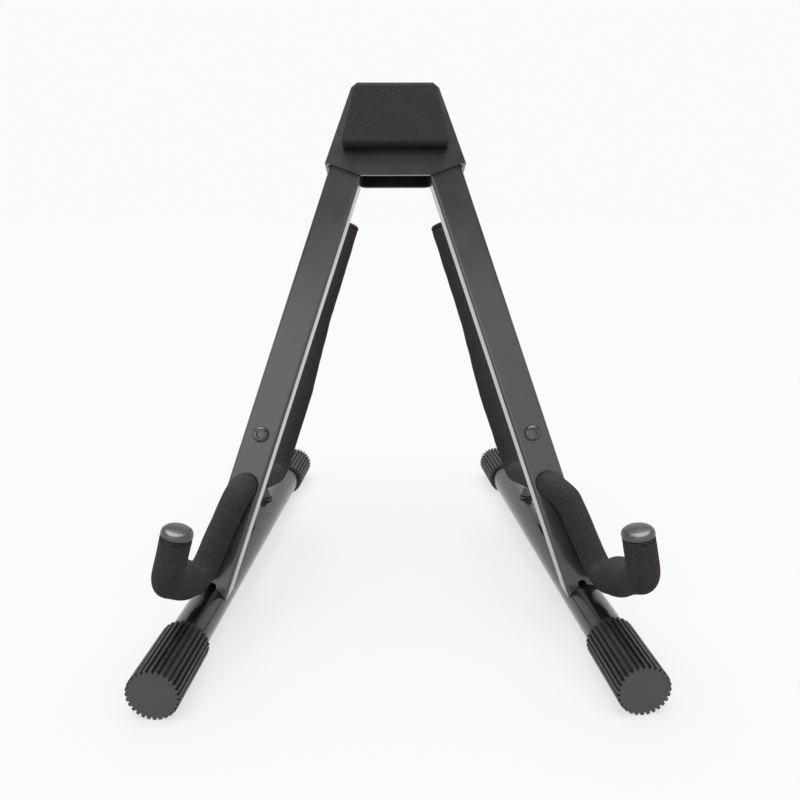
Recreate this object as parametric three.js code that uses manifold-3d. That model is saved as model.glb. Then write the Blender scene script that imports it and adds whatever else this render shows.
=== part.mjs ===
// Folding A-frame stand: two leaning box-section legs under a pressed head,
// round base tubes with fluted feet, foam-sleeved bent arms.  Millimetres, +Z up.
import * as THREE from 'three';
import { mergeVertices } from 'three/addons/utils/BufferGeometryUtils.js';
import ManifoldModule from 'manifold-3d';

const wasm = await ManifoldModule();
wasm.setup();
const { Manifold, Mesh: SolidMesh } = wasm;

// ---------- driving dimensions ----------
const LEAN = 16.6;            // frame leans back, degrees
const SPLAY = 17.67;          // each leg from the middle line, degrees
const BASE_LENGTH = 385.2;    // foot face to foot face, front to back
const FRONT_SPAN = 274.8;     // tube centres at the front
const REAR_SPAN = 216.2;      // tube centres at the rear
const TUBE_R = 12.7;
const TUBE_WALL = 1.6;
const FOOT_R = 15.8;
const FOOT_LENGTH = 50.6;
const FOOT_SOCKET = 45;
const FLUTES = 28;
const FLUTE_DEPTH = 1.8;
const LEG_WIDTH = 23.4;
const LEG_DEPTH = 18.6;
const LEG_WALL = 1.6;
const LEG_CORNER = 2.2;
const LEG_FOOT_X = 130.1;     // leg centre line at s = 0
const LEG_FOOT_V = 44.8;      // height up the frame at s = 0
const FACE_N = 83.1;          // leg faces, measured square to the frame
const PIN_S = 349.7;          // head pivot along the leg
const PIN_R = 3;
const FACE_BOLT_S = 119.8;
const ARM_S = 83;             // where the arm rod crosses the leg
const ROD_R = 4;
const FOAM_R = 9.1;
const FOAM_BORE = 4.5;
const CAP_R = 9.2;
const CROSS_BACK = 135;       // rear bar stands this far behind the leg face
const GAP = 0.3;
const SHEET = 2;              // head sheet thickness
const HEAD_V = { top: 404.5, corner: 347, low: 339 };
const HEAD_X = { top: 29.6, corner: 49.3, slant: 44.6, low: 24.6 };
const HEAD_STEP = 0.8;        // the cover's inside stands this far off the leg faces
const BACK_PLATE = 2;         // thickness of the plate behind the legs
const PAD = { top: 397.6, low: 357.2, xTop: 27.9, xLow: 37.2, thick: 12 };
const TUBE_BOLT_Y = 254.5;    // bolt on the base tube, behind the front face
const BOLT_R = 3;
const NUT = { flats: 9, thick: 4.3 };
const NOTCH = { r: 2.9, s: 10.8 };       // drain notch at the foot of each leg
const BUSH = { r: 8, thick: 3 };         // rubber bush where an arm leaves its leg
const PIVOT_WASHER = { r: 7.2, thick: 1.2 };
const TIP = { length: 5.3, round: 5, socket: 2.8, overRod: 2.2 };
const PLUG = { length: 4.2, round: 2.6, socket: 0.9 };
const ROD_SHORT = 0.4;        // rod ends this far inside its cap
const ARM_RADII = [140, 140, 11, 11, 22, 13, 13];
const LONG_STEP = 40;         // straight runs are cut into pieces of about this length

// bend points of the front part of each arm: across, square-back, along the leg
const FRONT_BENDS = {
  left: [[1.8, -13, 68], [7.4, -13, 14.3], [10.7, -84, 29.8], [11.1, -93.6, 61.4]],
  right: [[6.4, -13, 71.3], [11.4, -13, 12.3], [15.2, -98, 32.3], [17.5, -106.3, 59.6]],
};
const FRONT_DEPTH = 12.6;     // the arm turns down this far in front of the leg face
const REAR_BENDS = [[5.6, 309], [4.7, 225], [0.3, 158]];

// ---------- frames ----------
const rad = THREE.MathUtils.degToRad;
const v3 = (x, y, z) => new THREE.Vector3(x, y, z);
const MID = v3(0, -BASE_LENGTH / 2, 0);
const UP = v3(0, Math.sin(rad(LEAN)), Math.cos(rad(LEAN)));      // up the frame
const BACK = v3(0, Math.cos(rad(LEAN)), -Math.sin(rad(LEAN)));   // square to it
const framePoint = (x, n, v) =>
  v3(x, 0, 0).addScaledVector(BACK, n).addScaledVector(UP, v).add(MID);
const basis = (x, y, z, o) => new THREE.Matrix4().makeBasis(x, y, z).setPosition(o);

const HEAD_M = basis(v3(1, 0, 0), BACK, UP, framePoint(0, FACE_N, 0));
const along = v3(-Math.sin(rad(SPLAY)), 0, 0).addScaledVector(UP, Math.cos(rad(SPLAY)));
const across = v3(Math.cos(rad(SPLAY)), 0, 0).addScaledVector(UP, Math.sin(rad(SPLAY)));
const LEG_M = basis(across, BACK, along, framePoint(LEG_FOOT_X, FACE_N, LEG_FOOT_V));
const toe = Math.atan((FRONT_SPAN - REAR_SPAN) / 2 / BASE_LENGTH);
const tubeDir = v3(-Math.sin(toe), Math.cos(toe), 0);
const TUBE_M = basis(v3(Math.cos(toe), Math.sin(toe), 0), tubeDir, v3(0, 0, 1),
  v3(FRONT_SPAN / 2, 0, FOOT_R).add(MID));
const TUBE_LENGTH = BASE_LENGTH / Math.cos(toe);

// ---------- solids ----------
function toSolid(geometry) {
  const g = geometry.clone();
  g.deleteAttribute('normal');
  g.deleteAttribute('uv');
  const m = mergeVertices(g, 1e-4);
  return new Manifold(new SolidMesh({
    numProp: 3,
    vertProperties: new Float32Array(m.attributes.position.array),
    triVerts: new Uint32Array(m.index.array),
  }));
}

function fromSolid(solid) {
  const m = solid.getMesh();
  const g = new THREE.BufferGeometry();
  const xyz = new Float32Array(m.numVert * 3);
  for (let i = 0; i < m.numVert; i++) {
    for (let k = 0; k < 3; k++) xyz[i * 3 + k] = m.vertProperties[i * m.numProp + k];
  }
  g.setAttribute('position', new THREE.BufferAttribute(xyz, 3));
  g.setIndex(new THREE.BufferAttribute(new Uint32Array(m.triVerts), 1));
  g.computeVertexNormals();
  return g;
}

const cut = (a, ...b) => fromSolid(b.reduce((s, t) => s.subtract(toSolid(t)), toSolid(a)));
const join = (a, ...b) => fromSolid(b.reduce((s, t) => s.add(toSolid(t)), toSolid(a)));
const common = (a, b) => fromSolid(toSolid(a).intersect(toSolid(b)));

// cylinder whose axis is local Y (square to the frame), centred at x, z
function pinY(r, y0, y1, x = 0, z = 0, sides = 24) {
  return new THREE.CylinderGeometry(r, r, y1 - y0, sides).translate(x, (y0 + y1) / 2, z);
}

// outline in local X-Z, thickened along local Y from y0 to y1
function plate(points, y0, y1, holes = []) {
  const shape = new THREE.Shape(points.map(([x, z]) => new THREE.Vector2(x, z)));
  for (const [x, z, r] of holes) {
    const ring = new THREE.Path();
    ring.absarc(x, z, r, 0, Math.PI * 2, true);
    shape.holes.push(ring);
  }
  const depth = y1 - y0;
  const g = new THREE.ExtrudeGeometry(shape, { depth, bevelEnabled: false, curveSegments: 12 });
  return g.rotateX(Math.PI / 2).translate(0, y1, 0);
}

function roundedRect(w, d, r, steps = 4) {
  const pts = [];
  const corners = [[w / 2 - r, d / 2 - r, 0], [-w / 2 + r, d / 2 - r, 90],
    [-w / 2 + r, -d / 2 + r, 180], [w / 2 - r, -d / 2 + r, 270]];
  for (const [cx, cy, a0] of corners) {
    for (let i = 0; i <= steps; i++) {
      const a = rad(a0 + (90 * i) / steps);
      pts.push(new THREE.Vector2(cx + r * Math.cos(a), cy + r * Math.sin(a)));
    }
  }
  return pts;
}

function prismZ(points, z0, z1) {
  return new THREE.ExtrudeGeometry(new THREE.Shape(points), { depth: z1 - z0, bevelEnabled: false })
    .translate(0, 0, z0);
}

// ---------- bent rods ----------
function bentPoints(corners, radii) {
  const out = [corners[0].clone()];
  for (let i = 1; i < corners.length - 1; i++) {
    const p = corners[i];
    const a = corners[i - 1].clone().sub(p).normalize();
    const b = corners[i + 1].clone().sub(p).normalize();
    const half = a.angleTo(b) / 2;
    const reach = radii[i - 1] / Math.tan(half);
    const centre = a.clone().add(b).normalize();
    centre.multiplyScalar(radii[i - 1] / Math.sin(half)).add(p);
    const u = a.clone().multiplyScalar(reach).add(p).sub(centre);
    const w = b.clone().multiplyScalar(reach).add(p).sub(centre);
    const sweep = u.angleTo(w);
    const steps = Math.max(2, Math.ceil(sweep / rad(15)));
    for (let k = 0; k <= steps; k++) {
      const t = k / steps;
      const f0 = Math.sin((1 - t) * sweep) / Math.sin(sweep);
      const f1 = Math.sin(t * sweep) / Math.sin(sweep);
      out.push(u.clone().multiplyScalar(f0).addScaledVector(w, f1).add(centre));
    }
  }
  out.push(corners[corners.length - 1].clone());
  return out;
}

function lengths(points) {
  const d = [0];
  for (let i = 1; i < points.length; i++) d.push(d[i - 1] + points[i].distanceTo(points[i - 1]));
  return d;
}

// the piece of a polyline between two distances along it
function stretch(points, from, to) {
  const d = lengths(points);
  const at = (s) => {
    let i = 1;
    while (i < d.length - 1 && d[i] < s) i++;
    return points[i - 1].clone().lerp(points[i], (s - d[i - 1]) / (d[i] - d[i - 1]));
  };
  const inner = points.filter((p, i) => d[i] > from + 0.6 && d[i] < to - 0.6);
  return [at(from), ...inner, at(to)];
}

class PolyCurve extends THREE.Curve {
  constructor(points) {
    super();
    this.points = points;
    this.n = points.length - 1;
  }
  getPoint(t) {
    const f = Math.min(Math.max(t, 0), 1) * this.n;
    const i = Math.min(Math.floor(f), this.n - 1);
    return this.points[i].clone().lerp(this.points[i + 1], f - i);
  }
  getPointAt(t) { return this.getPoint(t); }
  getSpacedPoints(n) { return this.points.map((p) => p.clone()).slice(0, n + 1); }
  getTangentAt(t) {
    const i = Math.round(Math.min(Math.max(t, 0), 1) * this.n);
    const a = this.points[Math.max(i - 1, 0)];
    const b = this.points[Math.min(i + 1, this.n)];
    return b.clone().sub(a).normalize();
  }
}

function circle(r, sides, back) {
  const pts = [];
  for (let i = 0; i < sides; i++) {
    const a = ((back ? -i : i) / sides) * Math.PI * 2;
    pts.push(new THREE.Vector2(r * Math.cos(a), r * Math.sin(a)));
  }
  return pts;
}

function sweep(points, outer, bore, sides, boreSides) {
  const shape = new THREE.Shape(circle(outer, sides, false));
  if (bore) shape.holes.push(new THREE.Path(circle(bore, boreSides, true)));
  return new THREE.ExtrudeGeometry(shape,
    { steps: points.length - 1, extrudePath: new PolyCurve(points), bevelEnabled: false });
}

// ---------- parts of one side, in the leg frame (across, back, along) ----------
// the same place in the tube's frame, for shapes that meet the base tube
const fromTube = (geometry) => geometry.applyMatrix4(TUBE_M).applyMatrix4(LEG_M.clone().invert());
const legHole = (r, s) => pinY(r + GAP, -5, LEG_DEPTH + 5, 0, s, 24);

function leg() {
  const half = LEG_DEPTH / 2;
  const top = PIN_S + LEG_WIDTH / 2;
  const inside = [LEG_WIDTH - 2 * LEG_WALL, LEG_DEPTH - 2 * LEG_WALL, LEG_CORNER - 1.2];
  const outer = prismZ(roundedRect(LEG_WIDTH, LEG_DEPTH, LEG_CORNER), -20, top + 2)
    .translate(0, half, 0);
  const inner = prismZ(roundedRect(...inside), -30, top + 9).translate(0, half, 0);
  const crown = pinY(LEG_WIDTH / 2, -5, LEG_DEPTH + 5, 0, PIN_S, 48);
  const shank = new THREE.BoxGeometry(LEG_WIDTH + 8, LEG_DEPTH + 10, PIN_S + 40)
    .translate(0, half, (PIN_S - 40) / 2);
  const saddle = fromTube(pinY(TUBE_R + GAP, -80, 320, 0, 0, 48));
  const below = fromTube(new THREE.BoxGeometry(200, 400, 200).translate(0, 120, -100));
  const notch = pinY(NOTCH.r, -4, LEG_WALL + 1, 0, NOTCH.s, 20);
  const ended = common(outer, join(crown, shank));
  return cut(ended, inner, saddle, below, notch, legHole(ROD_R, ARM_S),
    legHole(BOLT_R, FACE_BOLT_S), legHole(PIN_R, PIN_S));
}

// smooth head at the front, shank through the leg, hexagon recess
function faceBolt() {
  const end = LEG_DEPTH + NUT.thick + 1.9;
  const profile = [[0, -3.4], [3.4, -3.4], [4.9, -2.7], [5.5, -1.6], [5.5, -GAP],
    [BOLT_R, -GAP], [BOLT_R, end], [0, end]].map(([r, y]) => new THREE.Vector2(r, y));
  const body = new THREE.LatheGeometry(profile, 28);
  const recess = new THREE.CylinderGeometry(BOLT_R, BOLT_R, 3, 6).translate(0, -2.6, 0);
  return cut(body, recess).translate(0, 0, FACE_BOLT_S);
}

function hexNut(flats, bore, y0, y1) {
  const r = flats / Math.sqrt(3);
  const body = new THREE.CylinderGeometry(r, r, y1 - y0, 6).translate(0, (y0 + y1) / 2, 0);
  const dome = new THREE.LatheGeometry([[0, y0 - 1], [flats / 2 + 0.15, y0 - 1],
    [r + 0.6, y0 + 1.1], [r + 0.6, y1 - 1.1], [flats / 2 + 0.15, y1 + 1], [0, y1 + 1]]
    .map(([x, y]) => new THREE.Vector2(x, y)), 36);
  return cut(common(body, dome), pinY(bore, y0 - 2, y1 + 2));
}

function washer(outer, bore, y0, y1) {
  return cut(pinY(outer, y0, y1, 0, 0, 32), pinY(bore, y0 - 1, y1 + 1, 0, 0, 24));
}

function armLine(side) {
  const front = FRONT_BENDS[side].map(([a, n, s]) => v3(a, n, s));
  const rear = REAR_BENDS.map(([a, s]) => v3(a, CROSS_BACK, s));
  const cross = [v3(0, CROSS_BACK, ARM_S), v3(0, -FRONT_DEPTH, ARM_S)];
  return bentPoints([...rear, ...cross, ...front], ARM_RADII);
}

// distance along the arm at which it first reaches a given depth behind the face
function reachBack(points, depth) {
  const d = lengths(points);
  for (let i = 1; i < points.length; i++) {
    const [a, b] = [points[i - 1].y, points[i].y];
    if (a > depth && b <= depth) return d[i - 1] + (d[i] - d[i - 1]) * ((a - depth) / (a - b));
  }
  return 0;
}

// adds points so that no step is much longer than asked
function evenly(points, step) {
  const d = lengths(points);
  const out = [points[0]];
  for (let i = 1; i < points.length; i++) {
    const n = Math.max(1, Math.round((d[i] - d[i - 1]) / step));
    for (let k = 1; k <= n; k++) out.push(points[i - 1].clone().lerp(points[i], k / n));
  }
  return out;
}

// domed cap with a socket, sat a gap beyond the end of the given points
function capFor(points, outer, { length, round, socket }) {
  const end = points[points.length - 1];
  const dir = end.clone().sub(points[points.length - 2]).normalize();
  const profile = [[0, socket], [FOAM_BORE, socket], [FOAM_BORE, 0], [outer - 0.8, 0],
    [outer, 0.8]];
  for (let i = 0; i <= 6; i++) {
    const a = rad(15 * i);
    const rise = round * 0.8 * (1 - Math.sin(a));
    profile.push([outer - round + round * Math.cos(a), length - rise]);
  }
  profile.push([0, length + (outer - round) * 0.12]);
  const turn = new THREE.Quaternion().setFromUnitVectors(v3(0, 1, 0), dir);
  return new THREE.LatheGeometry(profile.map(([r, y]) => new THREE.Vector2(r, y)), 26)
    .applyQuaternion(turn)
    .translate(...end.clone().addScaledVector(dir, GAP).toArray());
}

function armParts(side) {
  const line = armLine(side);
  const back = line.slice().reverse();
  const total = lengths(line).at(-1);
  const seam = total - TIP.overRod;
  const faceAt = reachBack(line, -2 * GAP);
  const bushAt = reachBack(line, LEG_DEPTH + BUSH.thick + 2 * GAP);
  const start = ROD_SHORT / 2;
  const run = (from, to) => evenly(stretch(line, from, to), LONG_STEP);
  const sleeve = (from, to) => sweep(run(from, to), FOAM_R, FOAM_BORE, 18, 10);
  return {
    rod: sweep(run(start, total - ROD_SHORT), ROD_R, 0, 10),
    front: sleeve(faceAt, seam),
    rear: sleeve(start, bushAt),
    tip: capFor(stretch(line, total - 12, seam), CAP_R, TIP),
    plug: capFor(stretch(back, total - 12, total - start), FOAM_R - 0.1, PLUG),
  };
}

// ---------- base, in the tube frame (X across, Y towards the rear) ----------
const tubeBoltAt = TUBE_BOLT_Y / Math.cos(toe);
const upright = (r0, r1, height, z, sides = 20) =>
  new THREE.CylinderGeometry(r0, r1, height, sides).rotateX(Math.PI / 2).translate(0, 0, z);

function baseTube() {
  const y0 = FOOT_LENGTH - FOOT_SOCKET + GAP;
  const y1 = TUBE_LENGTH - y0;
  const hole = upright(BOLT_R + GAP, BOLT_R + GAP, 30, 15).translate(0, tubeBoltAt, 0);
  return cut(pinY(TUBE_R, y0, y1, 0, 0, 48),
    pinY(TUBE_R - TUBE_WALL, y0 - 1, y1 + 1, 0, 0, 40), hole);
}

function fluteOutline() {
  const pts = [];
  const tooth = [[-0.4, 1], [-0.26, 0.06], [0.26, 0.06], [0.4, 1]];
  for (let i = 0; i < FLUTES; i++) {
    for (const [u, deep] of tooth) {
      const a = ((i + u) / FLUTES) * Math.PI * 2 - Math.PI / 2;
      const r = FOOT_R - deep * FLUTE_DEPTH;
      pts.push(new THREE.Vector2(r * Math.cos(a), r * Math.sin(a)));
    }
  }
  return pts;
}

function foot() {
  const body = prismZ(fluteOutline(), 0, FOOT_LENGTH).rotateX(Math.PI / 2)
    .translate(0, FOOT_LENGTH, 0);
  return cut(body, pinY(TUBE_R + GAP, FOOT_LENGTH - FOOT_SOCKET, FOOT_LENGTH + 5, 0, 0, 40));
}

function tubeBolt() {
  const z = TUBE_R + GAP;
  const r = 10 / Math.sqrt(3);
  const hexagon = upright(r, r, 5.4, z + 4.2, 6);
  const bevel = new THREE.LatheGeometry([[0, 0], [7, 0], [7, 4.4], [5.1, 5.6], [0, 5.6]]
    .map(([x, y]) => new THREE.Vector2(x, y)), 36).rotateX(Math.PI / 2).translate(0, 0, z + 1.35);
  const shank = upright(BOLT_R, BOLT_R, 16, z - 5);
  const stub = upright(BOLT_R - 0.4, BOLT_R, 2.2, z + 7.4);
  return join(common(hexagon, bevel), shank, stub).translate(0, tubeBoltAt, 0);
}

// washer with its underside hollowed to the tube
function tubeWasher() {
  const disc = upright(6.8, 6.8, 3, TUBE_R + GAP - 0.4, 32);
  const hole = upright(BOLT_R + GAP, BOLT_R + GAP, 9, TUBE_R);
  return cut(disc, pinY(TUBE_R + GAP, -12, 12, 0, 0, 48), hole).translate(0, tubeBoltAt, 0);
}

// ---------- head, in the head frame (X, back, up the frame) ----------
const pinX = LEG_FOOT_X - PIN_S * Math.sin(rad(SPLAY));
const pinV = LEG_FOOT_V + PIN_S * Math.cos(rad(SPLAY));
const pinHoles = () => [-1, 1].map((s) => pinY(PIN_R + GAP, -9, 40, s * pinX, pinV, 24));
const mirrored = (half) => [...half, ...half.slice().reverse().map(([x, z]) => [-x, z])];
const SHOULDER = [HEAD_X.top + 1.2, HEAD_V.top - 3.6];
const sideSlope = (SHOULDER[0] - HEAD_X.corner) / (SHOULDER[1] - HEAD_V.corner);
// the inside of the cover's side wall at a height
const sideAt = (v) =>
  HEAD_X.corner + (v - HEAD_V.corner) * sideSlope - SHEET * Math.hypot(1, sideSlope);

function headCover() {
  const back = LEG_DEPTH + HEAD_STEP + BACK_PLATE;
  const open = HEAD_V.low - 30;
  const shoulder = SHOULDER[1] - GAP;
  const outside = plate(mirrored([[HEAD_X.low, HEAD_V.low], [HEAD_X.slant, HEAD_V.corner - GAP],
    [HEAD_X.corner, HEAD_V.corner], SHOULDER, [HEAD_X.top - 3, HEAD_V.top]]),
  -SHEET - HEAD_STEP, back);
  const inside = plate(mirrored([[HEAD_X.low, open], [sideAt(open), open],
    [sideAt(shoulder), shoulder], [HEAD_X.top - 3.8, HEAD_V.top - SHEET]]), -HEAD_STEP, back + 5);
  return cut(outside, inside, ...pinHoles());
}

function headBack() {
  const face = LEG_DEPTH + 2 * GAP;
  const half = [[HEAD_X.low - 2.5, HEAD_V.low - 1.3], [HEAD_X.low + 1.5, HEAD_V.low - 0.2],
    [HEAD_X.slant - 2.9, HEAD_V.corner + 0.2], [HEAD_X.corner - 3.6, HEAD_V.corner + 1.4],
    [HEAD_X.top - 1.7, HEAD_V.top - 5], [HEAD_X.top - 4.4, HEAD_V.top - SHEET - 0.4]];
  return cut(plate(mirrored(half), face, face + BACK_PLATE), ...pinHoles());
}

function pivotPin() {
  const seat = LEG_DEPTH + HEAD_STEP + BACK_PLATE + PIVOT_WASHER.thick;
  const r = 10 / Math.sqrt(3);
  const head = new THREE.CylinderGeometry(r, r, 4.6, 6).translate(0, seat + 3, 0);
  return join(head, pinY(PIN_R, -HEAD_STEP - SHEET + 0.4, seat + 1, 0, 0, 24));
}

function pad() {
  const back = -SHEET - HEAD_STEP - GAP;
  const half = [[PAD.xLow - 1.6, PAD.low], [PAD.xLow, PAD.low + 1.9],
    [PAD.xTop + 0.4, PAD.top - 1.9], [PAD.xTop - 1.3, PAD.top]];
  const middle = (PAD.low + PAD.top) / 2;
  const front = half.map(([x, z]) => [x - 1, z + (z < middle ? 1 : -1)]);
  const block = plate(mirrored(half), back - PAD.thick + 1.1, back);
  const face = plate(mirrored(front), back - PAD.thick, back - PAD.thick + 1.6);
  return join(block, face);
}

// ---------- assembly ----------
const LOOK = {
  steel: { color: 0x1b1b1c, roughness: 0.42, metalness: 0.25 },
  gloss: { color: 0x141415, roughness: 0.2, metalness: 0.3 },
  rubber: { color: 0x232324, roughness: 0.7, metalness: 0 },
  cap: { color: 0x2b2b2c, roughness: 0.38, metalness: 0 },
  foam: { color: 0x1c1c1d, roughness: 0.95, metalness: 0 },
  bolt: { color: 0x101011, roughness: 0.3, metalness: 0.8 },
};
const group = new THREE.Group();
group.name = 'a_frame_stand';

function mirror(geometry) {
  const g = geometry.clone().applyMatrix4(new THREE.Matrix4().makeScale(-1, 1, 1));
  if (!g.index) g.setIndex([...Array(g.attributes.position.count).keys()]);
  const ix = g.index;
  for (let i = 0; i < ix.count; i += 3) {
    const b = ix.getX(i + 1);
    ix.setX(i + 1, ix.getX(i + 2));
    ix.setX(i + 2, b);
  }
  g.computeVertexNormals();
  return g;
}

function add(name, geometry, look, matrix, flip = false) {
  const placed = geometry.clone().applyMatrix4(matrix);
  const mesh = new THREE.Mesh(flip ? mirror(placed) : placed,
    new THREE.MeshStandardMaterial(LOOK[look]));
  mesh.name = name;
  group.add(mesh);
}

// everything on one side is built on the right, and flipped across for the left
function addSide(side) {
  const put = (name, g, look, m) => add(`${name}_${side}`, g, look, m, side === 'left');
  const arm = armParts(side);
  const legBack = LEG_DEPTH + GAP;
  const plateBack = LEG_DEPTH + BACK_PLATE + 3 * GAP;
  const nut = hexNut(NUT.flats, BOLT_R + GAP, legBack, LEG_DEPTH + GAP + NUT.thick);
  const bush = washer(BUSH.r, ROD_R + GAP, legBack, LEG_DEPTH + GAP + BUSH.thick);
  const pivotWasher = washer(PIVOT_WASHER.r, PIN_R + GAP, plateBack, plateBack + PIVOT_WASHER.thick);
  put('leg', leg(), 'steel', LEG_M);
  put('face_bolt', faceBolt(), 'bolt', LEG_M);
  put('face_bolt_nut', nut.translate(0, 0, FACE_BOLT_S), 'bolt', LEG_M);
  put('pivot_pin', pivotPin().translate(pinX, 0, pinV), 'bolt', HEAD_M);
  put('pivot_washer', pivotWasher.translate(pinX, 0, pinV), 'bolt', HEAD_M);
  put('arm_rod', arm.rod, 'steel', LEG_M);
  put('arm_foam', arm.front, 'foam', LEG_M);
  put('arm_cap', arm.tip, 'cap', LEG_M);
  put('rear_foam', arm.rear, 'foam', LEG_M);
  put('rear_plug', arm.plug, 'foam', LEG_M);
  put('arm_bush', bush.translate(0, 0, ARM_S), 'rubber', LEG_M);
  put('base_tube', baseTube(), 'gloss', TUBE_M);
  put('foot_front', foot(), 'rubber', TUBE_M);
  put('foot_rear', foot().rotateZ(Math.PI).translate(0, TUBE_LENGTH, 0), 'rubber', TUBE_M);
  put('tube_bolt', tubeBolt(), 'bolt', TUBE_M);
  put('tube_washer', tubeWasher(), 'bolt', TUBE_M);
}

add('head_cover', headCover(), 'steel', HEAD_M);
add('head_back', headBack(), 'steel', HEAD_M);
add('back_pad', pad(), 'foam', HEAD_M);
addSide('left');
addSide('right');

export default group;
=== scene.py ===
"""Folding A-frame stand, black, standing open on a pale floor."""
from math import cos, pi, radians, sin, tan

import bmesh
import bpy
from mathutils import Matrix, Vector, noise


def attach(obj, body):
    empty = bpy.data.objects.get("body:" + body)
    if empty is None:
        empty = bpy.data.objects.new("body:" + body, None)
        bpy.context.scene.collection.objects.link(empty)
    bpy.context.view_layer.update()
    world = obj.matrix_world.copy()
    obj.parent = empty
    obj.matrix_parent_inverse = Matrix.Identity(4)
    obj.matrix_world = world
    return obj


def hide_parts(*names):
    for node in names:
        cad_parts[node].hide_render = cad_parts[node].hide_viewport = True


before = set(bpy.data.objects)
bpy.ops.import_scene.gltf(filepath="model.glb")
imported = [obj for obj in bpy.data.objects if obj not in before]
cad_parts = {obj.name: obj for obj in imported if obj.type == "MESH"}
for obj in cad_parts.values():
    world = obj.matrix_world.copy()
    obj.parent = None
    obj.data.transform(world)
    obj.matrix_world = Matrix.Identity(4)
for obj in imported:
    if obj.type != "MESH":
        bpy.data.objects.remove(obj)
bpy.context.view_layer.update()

MM = 0.001

# ---------- the stand's own sizes, millimetres and degrees ----------
LEAN = radians(16.6)
SPLAY = radians(17.67)
BASE_LENGTH = 385.2
LEG_FOOT_X = 130.1
LEG_FOOT_V = 44.8
FACE_N = 83.1
ARM_S = 83
CROSS_BACK = 135
ROD_R = 4
FOAM_R = 9.1
SKIN = 0.1
SLEEVE_STEP = 1.5
SLEEVE_SIDES = 44
END_ROUND = 1.5
CAP_R = 8.98
CAP_LENGTH = 4.3
CAP_DOME = 3.9
CAP_SEAM = 2.2
PLUG_LENGTH = 3.4
PLUG_DOME = 2.6
BUSH_BACK = 22.2
FRONT_BENDS = {
    "left": [(1.8, -13, 68), (7.4, -13, 14.3), (10.7, -84, 29.8), (11.1, -93.6, 61.4)],
    "right": [(6.4, -13, 71.3), (11.4, -13, 12.3), (15.2, -98, 32.3), (17.5, -106.3, 59.6)],
}
REAR_BENDS = [(5.6, CROSS_BACK, 309), (4.7, CROSS_BACK, 225), (0.3, CROSS_BACK, 158)]
BEND_RADII = [140, 140, 11, 11, 10, 13, 13]
PAD_LOW, PAD_TOP, PAD_X_LOW, PAD_X_TOP, PAD_THICK = 357.2, 397.6, 37.2, 27.9, 12
PAD_BACK_N = FACE_N - 3.1
PAD_CORNER = 2.4
PAD_EDGE = 1.3
SIDES = ("left", "right")

# ---------- how the foam is crowded, millimetres ----------
LUMP_REACH = 24
LUMP_SWELL = 1.6
LUMP_LIFT = 6
LUMP_PLACE = (2, -38, 9)
FOLD_DEPTH = 5.5
FOLD_WAVE = 0.1
UNEVEN_DEPTH = 0.3
UNEVEN_SIZE = 12

# ---------- the room and the camera ----------
FLOOR_TONE = 0.12
FLOOR_GLOW = 0.716
PALE = (0.948, 0.956, 0.973, 1)
CAMERA_AT = (-3.0, -529.8, 271.8)
CAMERA_PITCH, CAMERA_YAW, CAMERA_ROLL = 0.2523, 0.0112, -0.0023
CAMERA_SENSOR = 36
CAMERA_LENS = 31.5

# colour sockets of a mix node
MIX_A, MIX_B = 6, 7

UP = Vector((0, sin(LEAN), cos(LEAN)))
BACK = Vector((0, cos(LEAN), -sin(LEAN)))


def frame_point(x, n, v):
    """A point given across, square to the leaning frame and up it."""
    return (Vector((x, -BASE_LENGTH / 2, 0)) + n * BACK + v * UP) * MM


def leg_point(side, a, n, s):
    """A point given across the leg, behind its face and along it."""
    turn = -1 if side == "left" else 1
    x = LEG_FOOT_X - s * sin(SPLAY) + a * cos(SPLAY)
    return frame_point(turn * x, FACE_N + n, LEG_FOOT_V + s * cos(SPLAY) + a * sin(SPLAY))


# ---------- shader helpers ----------
def add_node(tree, kind, links=None, **settings):
    """A node with its settings, its plain input values and its links made in one go."""
    made = tree.nodes.new(kind)
    for key, value in settings.items():
        if key in made.inputs:
            made.inputs[key].default_value = value
        else:
            setattr(made, key, value)
    for key, source in (links or {}).items():
        tree.links.new(source, made.inputs[key])
    return made


def new_group(name, inputs, outputs):
    """An empty node group with its sockets."""
    tree = bpy.data.node_groups.new(name, "ShaderNodeTree")
    for label, kind, value in inputs:
        socket = tree.interface.new_socket(name=label, in_out="INPUT", socket_type=kind)
        socket.default_value = value
    for label, kind in outputs:
        tree.interface.new_socket(name=label, in_out="OUTPUT", socket_type=kind)
    return tree, tree.nodes.new("NodeGroupInput"), tree.nodes.new("NodeGroupOutput")


def tone_group():
    """Two tones mottled together, with a mask that roughness and dust can follow."""
    tree, given, out = new_group("mottled tone", [
        ("Vector", "NodeSocketVector", (0, 0, 0)), ("Scale", "NodeSocketFloat", 60.0),
        ("Dark", "NodeSocketColor", (0, 0, 0, 1)), ("Light", "NodeSocketColor", (1, 1, 1, 1))],
        [("Color", "NodeSocketColor"), ("Mask", "NodeSocketFloat")])
    cloud = add_node(tree, "ShaderNodeTexNoise", {"Vector": given.outputs["Vector"],
                     "Scale": given.outputs["Scale"]}, Detail=5.0, Roughness=0.6)
    spread = add_node(tree, "ShaderNodeMapRange", {"Value": cloud.outputs["Fac"]},
                      interpolation_type="SMOOTHSTEP")
    spread.inputs["From Min"].default_value = 0.32
    spread.inputs["From Max"].default_value = 0.68
    mix = add_node(tree, "ShaderNodeMix", data_type="RGBA")
    tree.links.new(spread.outputs["Result"], mix.inputs["Factor"])
    tree.links.new(given.outputs["Dark"], mix.inputs[MIX_A])
    tree.links.new(given.outputs["Light"], mix.inputs[MIX_B])
    tree.links.new(mix.outputs[2], out.inputs["Color"])
    tree.links.new(spread.outputs["Result"], out.inputs["Mask"])
    return tree


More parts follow.
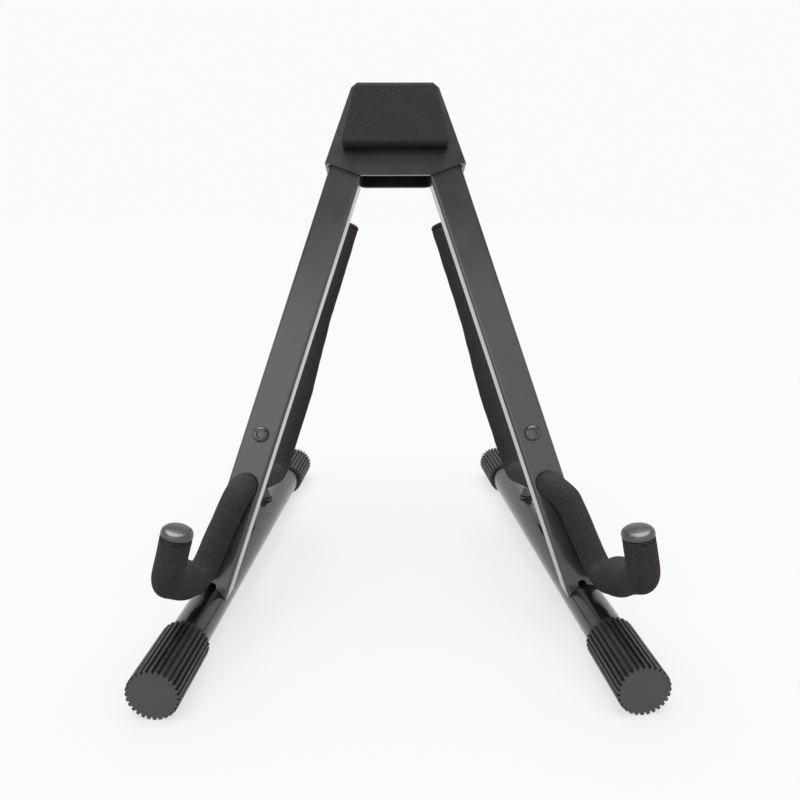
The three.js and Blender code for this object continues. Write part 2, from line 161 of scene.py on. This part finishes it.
def peel_group():
    """The faint waviness of sprayed paint and moulded rubber, as a normal."""
    tree, given, out = new_group("fine skin", [
        ("Vector", "NodeSocketVector", (0, 0, 0)), ("Scale", "NodeSocketFloat", 900.0),
        ("Strength", "NodeSocketFloat", 0.1)], [("Normal", "NodeSocketVector")])
    fine = add_node(tree, "ShaderNodeTexNoise", {"Vector": given.outputs["Vector"],
                    "Scale": given.outputs["Scale"]}, Detail=3.0)
    bump = add_node(tree, "ShaderNodeBump", {"Height": fine.outputs["Fac"],
                    "Strength": given.outputs["Strength"]}, Distance=0.0004)
    tree.links.new(bump.outputs["Normal"], out.inputs["Normal"])
    return tree


def pore_group():
    """Open pores of cut and moulded foam: a mask of dark pits and a matching normal."""
    tree, given, out = new_group("foam pores", [
        ("Vector", "NodeSocketVector", (0, 0, 0)), ("Scale", "NodeSocketFloat", 1300.0),
        ("Depth", "NodeSocketFloat", 0.5)],
        [("Pits", "NodeSocketFloat"), ("Normal", "NodeSocketVector")])
    cells = add_node(tree, "ShaderNodeTexVoronoi", {"Vector": given.outputs["Vector"],
                     "Scale": given.outputs["Scale"]}, feature="F1", Randomness=1.0)
    grain = add_node(tree, "ShaderNodeTexNoise", {"Vector": given.outputs["Vector"],
                     "Scale": given.outputs["Scale"]}, Detail=6.0, Roughness=0.75)
    pits = add_node(tree, "ShaderNodeMapRange", {"Value": cells.outputs["Distance"]})
    pits.inputs["From Min"].default_value = 0.08
    pits.inputs["From Max"].default_value = 0.5
    both = add_node(tree, "ShaderNodeMath", operation="MULTIPLY")
    tree.links.new(pits.outputs["Result"], both.inputs[0])
    tree.links.new(grain.outputs["Fac"], both.inputs[1])
    bump = add_node(tree, "ShaderNodeBump", {"Height": both.outputs["Value"],
                    "Strength": given.outputs["Depth"]}, Distance=0.0006)
    tree.links.new(both.outputs["Value"], out.inputs["Pits"])
    tree.links.new(bump.outputs["Normal"], out.inputs["Normal"])
    return tree


TONE, PEEL, PORES = tone_group(), peel_group(), pore_group()


def blank_material(name, **shader):
    """A material with its shader's plain values set, and the socket that gives the place."""
    mat = bpy.data.materials.new(name)
    mat.use_nodes = True
    tree = mat.node_tree
    bsdf = tree.nodes["Principled BSDF"]
    for key, value in shader.items():
        bsdf.inputs[key.replace("_", " ")].default_value = value
    place = tree.nodes.new("ShaderNodeTexCoord").outputs["Object"]
    return mat, tree, bsdf, place


def use_group(tree, group, place, **values):
    """One of the shared groups, fed with the place and some plain values."""
    made = tree.nodes.new("ShaderNodeGroup")
    made.node_tree = group
    tree.links.new(place, made.inputs["Vector"])
    for key, value in values.items():
        made.inputs[key].default_value = value
    return made


def grey(level):
    """A near neutral grey, a shade warm."""
    return (level * 1.08, level * 0.98, level, 1)


def coated(name, dark, light, smooth, rough, peel, scale=45.0, peel_scale=900.0, **shader):
    """Painted metal or moulded rubber: mottled tone, roughness that follows it and a fine skin."""
    mat, tree, bsdf, place = blank_material(name, **shader)
    tone = use_group(tree, TONE, place, Scale=scale, Dark=grey(dark), Light=grey(light))
    skin = use_group(tree, PEEL, place, Scale=peel_scale, Strength=peel)
    gloss = add_node(tree, "ShaderNodeMapRange", {"Value": tone.outputs["Mask"]})
    gloss.inputs["To Min"].default_value = smooth
    gloss.inputs["To Max"].default_value = rough
    tree.links.new(tone.outputs["Color"], bsdf.inputs["Base Color"])
    tree.links.new(gloss.outputs["Result"], bsdf.inputs["Roughness"])
    tree.links.new(skin.outputs["Normal"], bsdf.inputs["Normal"])
    return mat


def foam(name, dark, light, scale, depth, **shader):
    """Dull foam: dark pits in a lighter skin, a little cloudy."""
    mat, tree, bsdf, place = blank_material(name, Roughness=0.95, **shader)
    pores = use_group(tree, PORES, place, Scale=scale, Depth=depth)
    tone = use_group(tree, TONE, place, Scale=35.0, Dark=grey(dark * 0.85), Light=grey(dark))
    mix = add_node(tree, "ShaderNodeMix", data_type="RGBA")
    tree.links.new(pores.outputs["Pits"], mix.inputs["Factor"])
    tree.links.new(tone.outputs["Color"], mix.inputs[MIX_A])
    mix.inputs[MIX_B].default_value = grey(light)
    tree.links.new(mix.outputs[2], bsdf.inputs["Base Color"])
    tree.links.new(pores.outputs["Normal"], bsdf.inputs["Normal"])
    return mat


def ribbed_rubber():
    """Foot rubber: darker, shinier ribs round the side and a dull grey end face, whose lighter grey is
    partly painted light, standing for the floor and front light that face meets.
    """
    mat = coated("moulded foot rubber", 0.007, 0.011, 0.36, 0.5, 0.15, scale=80.0,
                 Specular_IOR_Level=0.4)
    tree = mat.node_tree
    bsdf = tree.nodes["Principled BSDF"]
    ribs = bsdf.inputs["Base Color"].links[0].from_socket
    place = tree.nodes.new("ShaderNodeTexCoord")
    # painted light: faces turned along the foot's axis (the end faces) get a lighter grey, standing in
    # part for the floor and front light they catch
    split = add_node(tree, "ShaderNodeSeparateXYZ", {"Vector": place.outputs["Normal"]})
    along = add_node(tree, "ShaderNodeMath", operation="ABSOLUTE")
    tree.links.new(split.outputs["Y"], along.inputs[0])
    face = add_node(tree, "ShaderNodeMapRange", {"Value": along.outputs["Value"]})
    face.inputs["From Min"].default_value = 0.86
    face.inputs["From Max"].default_value = 0.97
    mix = add_node(tree, "ShaderNodeMix", data_type="RGBA")
    tree.links.new(face.outputs["Result"], mix.inputs["Factor"])
    tree.links.new(ribs, mix.inputs[MIX_A])
    # the lighter grey of the end face, partly painted light
    mix.inputs[MIX_B].default_value = grey(0.036)
    tree.links.new(mix.outputs[2], bsdf.inputs["Base Color"])
    return mat


FINISH = {
    "black_paint": coated("satin black paint", 0.006, 0.010, 0.3, 0.4, 0.06,
                          Specular_IOR_Level=0.45, Coat_Weight=1.0, Coat_Roughness=0.12),
    "gloss_paint": coated("gloss black paint", 0.004, 0.007, 0.2, 0.3, 0.03,
                          Specular_IOR_Level=0.25, Coat_Weight=0.62, Coat_Roughness=0.1),
    "black_bolt": coated("blackened steel", 0.06, 0.1, 0.18, 0.28, 0.05, Metallic=0.85),
    "foot_rubber": ribbed_rubber(),
    "cap_rubber": coated("smooth cap rubber", 0.014, 0.02, 0.26, 0.33, 0.05, Specular_IOR_Level=1.0),
    "foam": foam("closed cell foam", 0.012, 0.040, 900.0, 0.8, Specular_IOR_Level=0.15),
}


# ---------- shapes ----------
def piece(name, bm, body, slot, node):
    """Turns a finished bmesh into a piece that rides on its body and stands for a CAD node."""
    mesh = bpy.data.meshes.new(name)
    bm.to_mesh(mesh)
    bm.free()
    obj = bpy.data.objects.new(name, mesh)
    bpy.context.scene.collection.objects.link(obj)
    mesh.materials.append(FINISH[slot])
    mesh.shade_smooth()
    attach(obj, body)
    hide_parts(node)
    return obj


def soften(obj, width, segments=2, angle=35):
    """Small rounded edges that catch the light, flat faces kept flat."""
    bevel = obj.modifiers.new("edges", "BEVEL")
    bevel.width = width * MM
    bevel.segments = segments
    bevel.limit_method = "ANGLE"
    bevel.angle_limit = radians(angle)
    even = obj.modifiers.new("flat faces", "WEIGHTED_NORMAL")
    even.keep_sharp = True
    return obj


def dressed(node, body, slot, width, segments=2, angle=35):
    """A CAD node's own shape, merged and tidied, with softened edges."""
    bm = bmesh.new()
    bm.from_mesh(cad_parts[node].data)
    bmesh.ops.remove_doubles(bm, verts=bm.verts, dist=0.002 * MM)
    bmesh.ops.dissolve_limit(bm, angle_limit=radians(0.6), verts=bm.verts, edges=bm.edges)
    return soften(piece(node + "_shape", bm, body, slot, node), width, segments, angle)


def bent_line(corners, radii):
    """Straight runs joined by arcs, as points."""
    out = [corners[0]]
    for p, a, b, radius in zip(corners[1:], corners, corners[2:], radii):
        u, w = (a - p).normalized(), (b - p).normalized()
        half = u.angle(w) / 2
        centre = p + (u + w).normalized() * radius / sin(half)
        start = p + u * radius / tan(half) - centre
        end = p + w * radius / tan(half) - centre
        turn = start.angle(end)
        steps = max(2, round(turn / radians(7)))
        for k in range(steps + 1):
            t = k / steps
            out.append(centre + (start * sin((1 - t) * turn) + end * sin(t * turn)) / sin(turn))
    return out + [corners[-1]]


def distances(points):
    """How far along the line each of its points is."""
    out = [0.0]
    for a, b in zip(points, points[1:]):
        out.append(out[-1] + (b - a).length)
    return out


def point_at(points, d, s):
    """The point a distance along the line, given each point's own distance."""
    i = next((k for k in range(1, len(d) - 1) if d[k] >= s), len(d) - 1)
    t = (s - d[i - 1]) / (d[i] - d[i - 1])
    return points[i - 1].lerp(points[i], t)


def stations(points, start, end, step):
    """Evenly spaced (place, direction) pairs along a line between two distances."""
    d = distances(points)
    count = max(2, round((end - start) / step))
    out = []
    for k in range(count + 1):
        s = start + (end - start) * k / count
        ahead = point_at(points, d, min(s + 0.8 * MM, d[-1]))
        behind = point_at(points, d, max(s - 0.8 * MM, 0))
        out.append((point_at(points, d, s), (ahead - behind).normalized()))
    return out


def ring_places(line, radii):
    """Carries one cross-section along a line without twisting it."""
    turn = Vector((0, 0, 1)).rotation_difference(line[0][1]).to_matrix()
    last = line[0][1]
    out = []
    for (place, way), radius in zip(line, radii):
        turn = last.rotation_difference(way).to_matrix() @ turn
        last = way
        size = Matrix.Diagonal((radius, radius, radius, 1))
        out.append(Matrix.Translation(place) @ turn.to_4x4() @ size)
    return out


def swept(line, radii, sides):
    """A closed round bar through the stations, its ends filled."""
    places = ring_places(line, radii)
    bm = bmesh.new()
    bmesh.ops.create_circle(bm, segments=sides, radius=1, matrix=places[0])
    rim = list(bm.edges)
    for before, after in zip(places, places[1:]):
        grown = bmesh.ops.extrude_edge_only(bm, edges=rim)["geom"]
        verts = {g for g in grown if isinstance(g, bmesh.types.BMVert)}
        rim = [g for g in grown if isinstance(g, bmesh.types.BMEdge) and set(g.verts) <= verts]
        bmesh.ops.transform(bm, matrix=after @ before.inverted(), verts=list(verts))
    bmesh.ops.holes_fill(bm, edges=bm.edges)
    bmesh.ops.recalc_face_normals(bm, faces=bm.faces)
    return bm


def rounded_ends(line, radius, core, round_over):
    """Stations and radii for a sleeve whose ends turn over onto the rod inside it."""
    def turned_end(place, way, sign):
        found = [(place, way, core)]
        for k in range(6):
            a = radians(18 * k)
            found.append((place + sign * way * round_over * (1 - cos(a)), way,
                          radius - round_over + round_over * sin(a)))
        return found
    first = turned_end(*line[0], 1)
    last = turned_end(*line[-1], -1)[::-1]
    inner = [(p, w, radius) for p, w in line
             if (p - line[0][0]).length > round_over and (p - line[-1][0]).length > round_over]
    whole = first + inner + last
    return [(p, w) for p, w, r in whole], [r for p, w, r in whole]


def uneven(bm, depth, size, seed):
    """Foam is never quite true: pushes the surface in and out a little."""
    bm.normal_update()
    shift = Vector((seed, 2 * seed, 3 * seed))
    for v in bm.verts:
        v.co += v.normal * depth * (noise.noise(v.co / size + shift) - 0.5)


def bend_strength(line):
    """For each station, how sharply and towards where the sleeve is bent there."""
    out = []
    last = len(line) - 1
    for i in range(len(line)):
        total = Vector()
        for k in range(-5, 6):
            j = min(max(i + k, 1), last - 1)
            total += (line[j + 1][1] - line[j - 1][1]) * (1 - abs(k) / 6)
        out.append(total / 6)
    return out


def puckered(bm, line, height, wave):
    """Foam crowds on the inside of each bend: it bulges there, in fine folds."""
    pull = bend_strength(line)
    bm.verts.ensure_lookup_table()
    bm.normal_update()
    moves = []
    for v in bm.verts:
        i = min(range(len(line)), key=lambda j: (line[j][0] - v.co).length_squared)
        inward = max(0.0, v.normal.dot(pull[i]))
        fold = 1 + wave * sin(2 * pi * i / 3.0)
        moves.append((v, v.normal * height * inward * fold))
    for v, move in moves:
        v.co += move


def crowded(bm, fat, lift):
    """Foam pushed up in a lump on the upper side of a run, round the given place."""
    bm.normal_update()
    moves = [(v, v.normal * lift * swelling((v.co - fat).length / MM) * max(0.0, v.normal.dot(UP)))
             for v in bm.verts]
    for v, move in moves:
        v.co += move


def turned(profile, place, steps=56):
    """A lathe shape from (radius, height) pairs."""
    bm = bmesh.new()
    verts = [bm.verts.new((r, 0, z)) for r, z in profile]
    edges = [bm.edges.new(pair) for pair in zip(verts, verts[1:])]
    bmesh.ops.spin(bm, geom=verts + edges, axis=(0, 0, 1), cent=(0, 0, 0), dvec=(0, 0, 0),
                   angle=2 * pi, steps=steps, use_merge=True, use_duplicate=False)
    bmesh.ops.remove_doubles(bm, verts=bm.verts, dist=0.001 * MM)
    bmesh.ops.recalc_face_normals(bm, faces=bm.faces)
    bmesh.ops.transform(bm, matrix=place, verts=bm.verts)
    return bm


# ---------- the arms ----------
def arm_line(side):
    """The arm's middle line, from the rear top through the leg to the hook's tip."""
    corners = [leg_point(side, *p) for p in REAR_BENDS]
    corners += [leg_point(side, 0, CROSS_BACK, ARM_S), leg_point(side, 0, -12.6, ARM_S)]
    corners += [leg_point(side, *p) for p in FRONT_BENDS[side]]
    return bent_line(corners, [r * MM for r in BEND_RADII])


def reach(points, side, n):
    """How far along the arm it first comes as near the front as n."""
    goal = leg_point(side, 0, n, ARM_S).dot(BACK)
    d = distances(points)
    for i in range(1, len(points)):
        a, b = points[i - 1].dot(BACK), points[i].dot(BACK)
        if a > goal >= b:
            return d[i - 1] + (d[i] - d[i - 1]) * (a - goal) / (a - b)
    return 0.0


def swelling(distance):
    """The sleeve is crowded forward past the lower bend: 1 on the fat part, 0 away from it."""
    return max(0.0, 1 - (distance / LUMP_REACH) ** 2) ** 2


def sleeve(name, side, points, start, end, node, seed, fat=None):
    """A foam sleeve over a stretch of the arm, fatter near the given place if there is one."""
    line = stations(points, start, end, SLEEVE_STEP * MM)
    line, radii = rounded_ends(line, (FOAM_R - SKIN) * MM, ROD_R * MM, END_ROUND * MM)
    if fat is not None:
        radii = [r + LUMP_SWELL * MM * swelling((p - fat).length / MM)
                 for (p, w), r in zip(line, radii)]
    bm = swept(line, radii, SLEEVE_SIDES)
    if fat is not None:
        crowded(bm, fat, LUMP_LIFT * MM)
    puckered(bm, line, FOLD_DEPTH * MM, FOLD_WAVE)
    uneven(bm, UNEVEN_DEPTH * MM, UNEVEN_SIZE * MM, seed)
    obj = piece(name, bm, f"arm_{side}", "foam", node)
    return obj


def cap_profile(radius, length, dome, lip):
    """Domed rubber cap: a small lip at the seam, a short straight side, then a broad dome."""
    rise = dome * 0.8
    side = [(0, 0.1), (radius - 1.5, 0.1), (radius - lip, 0), (radius - 0.04, 0.25), (radius, 0.6),
            (radius - lip / 2, 0.95)]
    centre = radius - lip / 2 - dome
    turn = [(centre + dome * cos(radians(a)), length - rise + rise * sin(radians(a)))
            for a in range(0, 85, 7)]
    crown = [(turn[-1][0] * (1 - t), turn[-1][1] + 0.5 * (1 - (1 - t) ** 2)) for t in (0.3, 0.6, 1.0)]
    return [(r * MM, z * MM) for r, z in side + turn + crown]


def facing(place, way):
    """Puts a lathe shape's foot at a place, its axis along a direction."""
    turn = Vector((0, 0, 1)).rotation_difference(way).to_matrix()
    return Matrix.Translation(place) @ turn.to_4x4()


def build_arm(side):
    body = f"arm_{side}"
    points = arm_line(side)
    total = distances(points)[-1]
    seam = total - CAP_SEAM * MM
    seed = 1.0 if side == "left" else 4.0
    rod_line = stations(points, 0.2 * MM, total - 0.4 * MM, 2.5 * MM)
    rod = swept(rod_line, [ROD_R * MM] * len(rod_line), 24)
    piece(f"bent_rod_{side}", rod, body, "black_paint", f"arm_rod_{side}")
    lump = [bend + shift for bend, shift in zip(FRONT_BENDS[side][1], LUMP_PLACE)]
    sleeve(f"front_sleeve_{side}", side, points, reach(points, side, -0.6), seam,
           f"arm_foam_{side}", seed, leg_point(side, *lump))
    sleeve(f"rear_sleeve_{side}", side, points, 0.2 * MM, reach(points, side, BUSH_BACK),
           f"rear_foam_{side}", seed + 1)
    top, way = stations(points, seam - 1 * MM, seam, 1 * MM)[-1]
    cap = turned(cap_profile(CAP_R, CAP_LENGTH, CAP_DOME, 0.2), facing(top + way * SKIN * MM, way))
    piece(f"tip_cap_{side}", cap, body, "cap_rubber", f"arm_cap_{side}")
    end, back = stations(points, 0, 1 * MM, 1 * MM)[0]
    plug = turned(cap_profile(FOAM_R - SKIN, PLUG_LENGTH, PLUG_DOME, 0.05),
                  facing(end - back * SKIN * MM, -back))
    end_plug = piece(f"sleeve_end_{side}", plug, body, "foam", f"rear_plug_{side}")
    dressed(f"arm_bush_{side}", body, "cap_rubber", 0.5)


# ---------- legs and base ----------
def build_leg(side):
    body = f"leg_{side}"
    dressed(f"leg_{side}", body, "black_paint", 0.3)
    dressed(f"base_tube_{side}", body, "gloss_paint", 0.25)
    dressed(f"foot_front_{side}", body, "foot_rubber", 0.32, 2, 25)
    dressed(f"foot_rear_{side}", body, "foot_rubber", 0.32, 2, 25)
    dressed(f"face_bolt_{side}", body, "black_bolt", 0.25)
    dressed(f"face_bolt_nut_{side}", body, "black_bolt", 0.25)
    dressed(f"tube_bolt_{side}", body, "black_bolt", 0.3)
    dressed(f"tube_washer_{side}", body, "black_bolt", 0.2)


# ---------- head and its pad ----------
def build_head():
    dressed("head_cover", "head", "black_paint", 0.7, 3)
    dressed("head_back", "head", "black_paint", 0.5, 3)
    for side in SIDES:
        dressed(f"pivot_pin_{side}", "head", "black_bolt", 0.3)
        dressed(f"pivot_washer_{side}", "head", "black_bolt", 0.25)


def build_pad():
    """A thick block of foam, cut square, with soft corners and a softened front rim."""
    bm = bmesh.new()
    corners = [(-PAD_X_LOW, PAD_LOW), (PAD_X_LOW, PAD_LOW), (PAD_X_TOP, PAD_TOP), (-PAD_X_TOP, PAD_TOP)]
    face = bm.faces.new([bm.verts.new(frame_point(x, PAD_BACK_N, v)) for x, v in corners])
    grown = bmesh.ops.extrude_face_region(bm, geom=[face])["geom"]
    lifted = [g for g in grown if isinstance(g, bmesh.types.BMVert)]
    bmesh.ops.translate(bm, vec=BACK * -PAD_THICK * MM, verts=lifted)
    bmesh.ops.recalc_face_normals(bm, faces=bm.faces)
    upright = [e for e in bm.edges
               if abs((e.verts[0].co - e.verts[1].co).normalized().dot(BACK)) > 0.9]
    bmesh.ops.bevel(bm, geom=upright, offset=PAD_CORNER * MM, segments=5, profile=0.5,
                    affect="EDGES", material=-1)
    front = min(f.calc_center_median().dot(BACK) for f in bm.faces)
    rim = [e for e in bm.edges if all(abs(v.co.dot(BACK) - front) < 0.01 * MM for v in e.verts)]
    bmesh.ops.bevel(bm, geom=rim, offset=PAD_EDGE * MM, segments=4, profile=0.5,
                    affect="EDGES", material=-1)
    bmesh.ops.triangulate(bm, faces=[f for f in bm.faces if len(f.verts) > 4])
    obj = piece("head_pad", bm, "head", "foam", "back_pad")
    even = obj.modifiers.new("flat faces", "WEIGHTED_NORMAL")
    even.keep_sharp = True


# ---------- studio ----------
def build_floor():
    """A wide pale floor that glows a little, so that it meets the room without an edge."""
    bm = bmesh.new()
    bmesh.ops.create_grid(bm, x_segments=1, y_segments=1, size=30)
    mesh = bpy.data.meshes.new("floor")
    bm.to_mesh(mesh)
    bm.free()
    floor = bpy.data.objects.new("floor", mesh)
    bpy.context.scene.collection.objects.link(floor)
    floor.location.z = -0.1 * MM
    mat = bpy.data.materials.new("pale floor")
    mat.use_nodes = True
    bsdf = mat.node_tree.nodes["Principled BSDF"]
    bsdf.inputs["Base Color"].default_value = (FLOOR_TONE, FLOOR_TONE, FLOOR_TONE, 1)
    bsdf.inputs["Roughness"].default_value = 1.0
    bsdf.inputs["Specular IOR Level"].default_value = 0.0
    bsdf.inputs["Emission Color"].default_value = PALE
    bsdf.inputs["Emission Strength"].default_value = FLOOR_GLOW
    mesh.materials.append(mat)


def softbox(name, turn, height, spread, brightness):
    """A big round lamp far off: degrees round from the front, degrees up, degrees across."""
    light = bpy.data.lights.new(name, "SUN")
    light.angle = radians(spread)
    light.energy = brightness * pi * sin(radians(spread / 2)) ** 2
    light.color = (1.0, 0.95, 0.96)
    lamp = bpy.data.objects.new(name, light)
    t, h = radians(turn), radians(height)
    lamp.location = (sin(t) * cos(h) * 2, -cos(t) * cos(h) * 2, sin(h) * 2)
    lamp.rotation_euler = (-lamp.location).to_track_quat("-Z", "Y").to_euler()
    bpy.context.scene.collection.objects.link(lamp)


def band(tree, value, low, high, below, above):
    """Goes smoothly from one level to another as the value rises."""
    made = add_node(tree, "ShaderNodeMapRange", {"Value": value}, interpolation_type="SMOOTHSTEP")
    for key, number in (("From Min", low), ("From Max", high), ("To Min", below), ("To Max", above)):
        made.inputs[key].default_value = number
    return made.outputs["Result"]


def build_lights():
    """A pale room: bright round the sides, most of all in front, and straight overhead."""
    world = bpy.data.worlds.new("studio")
    world.use_nodes = True
    tree = world.node_tree
    place = add_node(tree, "ShaderNodeTexCoord").outputs["Generated"]
    split = add_node(tree, "ShaderNodeSeparateXYZ", {"Vector": place})
    high = split.outputs["Z"]
    dim = band(tree, high, 0.42, 0.6, 1.0, 0.16)
    top = band(tree, high, 0.66, 0.97, 0.0, 5.8)
    across = band(tree, split.outputs["X"], -0.22, 0.2, 2.0, 1.35)
    front = band(tree, split.outputs["Y"], -0.75, -0.3, 1.0, 0.0)
    room = add_node(tree, "ShaderNodeMix", data_type="FLOAT")
    room.inputs[2].default_value = 1.0
    tree.links.new(front, room.inputs[0])
    tree.links.new(across, room.inputs[3])
    both = add_node(tree, "ShaderNodeMath", operation="MULTIPLY")
    tree.links.new(dim, both.inputs[0])
    tree.links.new(room.outputs[0], both.inputs[1])
    total = add_node(tree, "ShaderNodeMath", operation="ADD")
    tree.links.new(both.outputs["Value"], total.inputs[0])
    tree.links.new(top, total.inputs[1])
    sky = tree.nodes["Background"]
    sky.inputs["Color"].default_value = PALE
    tree.links.new(total.outputs["Value"], sky.inputs["Strength"])
    bpy.context.scene.world = world
    softbox("high left", -40, 62, 34, 1.2)


def build_camera():
    """A wide lens close in front, looking a little down."""
    pitch, yaw, roll = CAMERA_PITCH, CAMERA_YAW, CAMERA_ROLL
    ahead = Vector((sin(yaw) * cos(pitch), cos(yaw) * cos(pitch), -sin(pitch)))
    across = Vector((cos(yaw), -sin(yaw), 0))
    above = across.cross(ahead)
    right = cos(roll) * across + sin(roll) * above
    top = cos(roll) * above - sin(roll) * across
    data = bpy.data.cameras.new("camera")
    data.sensor_width = CAMERA_SENSOR
    data.lens = CAMERA_LENS
    data.clip_start = 0.01
    camera = bpy.data.objects.new("camera", data)
    turn = Matrix((right, top, -ahead)).transposed().to_4x4()
    camera.matrix_world = Matrix.Translation(Vector(CAMERA_AT) * MM) @ turn
    bpy.context.scene.collection.objects.link(camera)
    bpy.context.scene.camera = camera
    bpy.context.scene.view_settings.view_transform = "Standard"


build_head()
build_pad()
for side in SIDES:
    build_leg(side)
    build_arm(side)
build_floor()
build_lights()
build_camera()
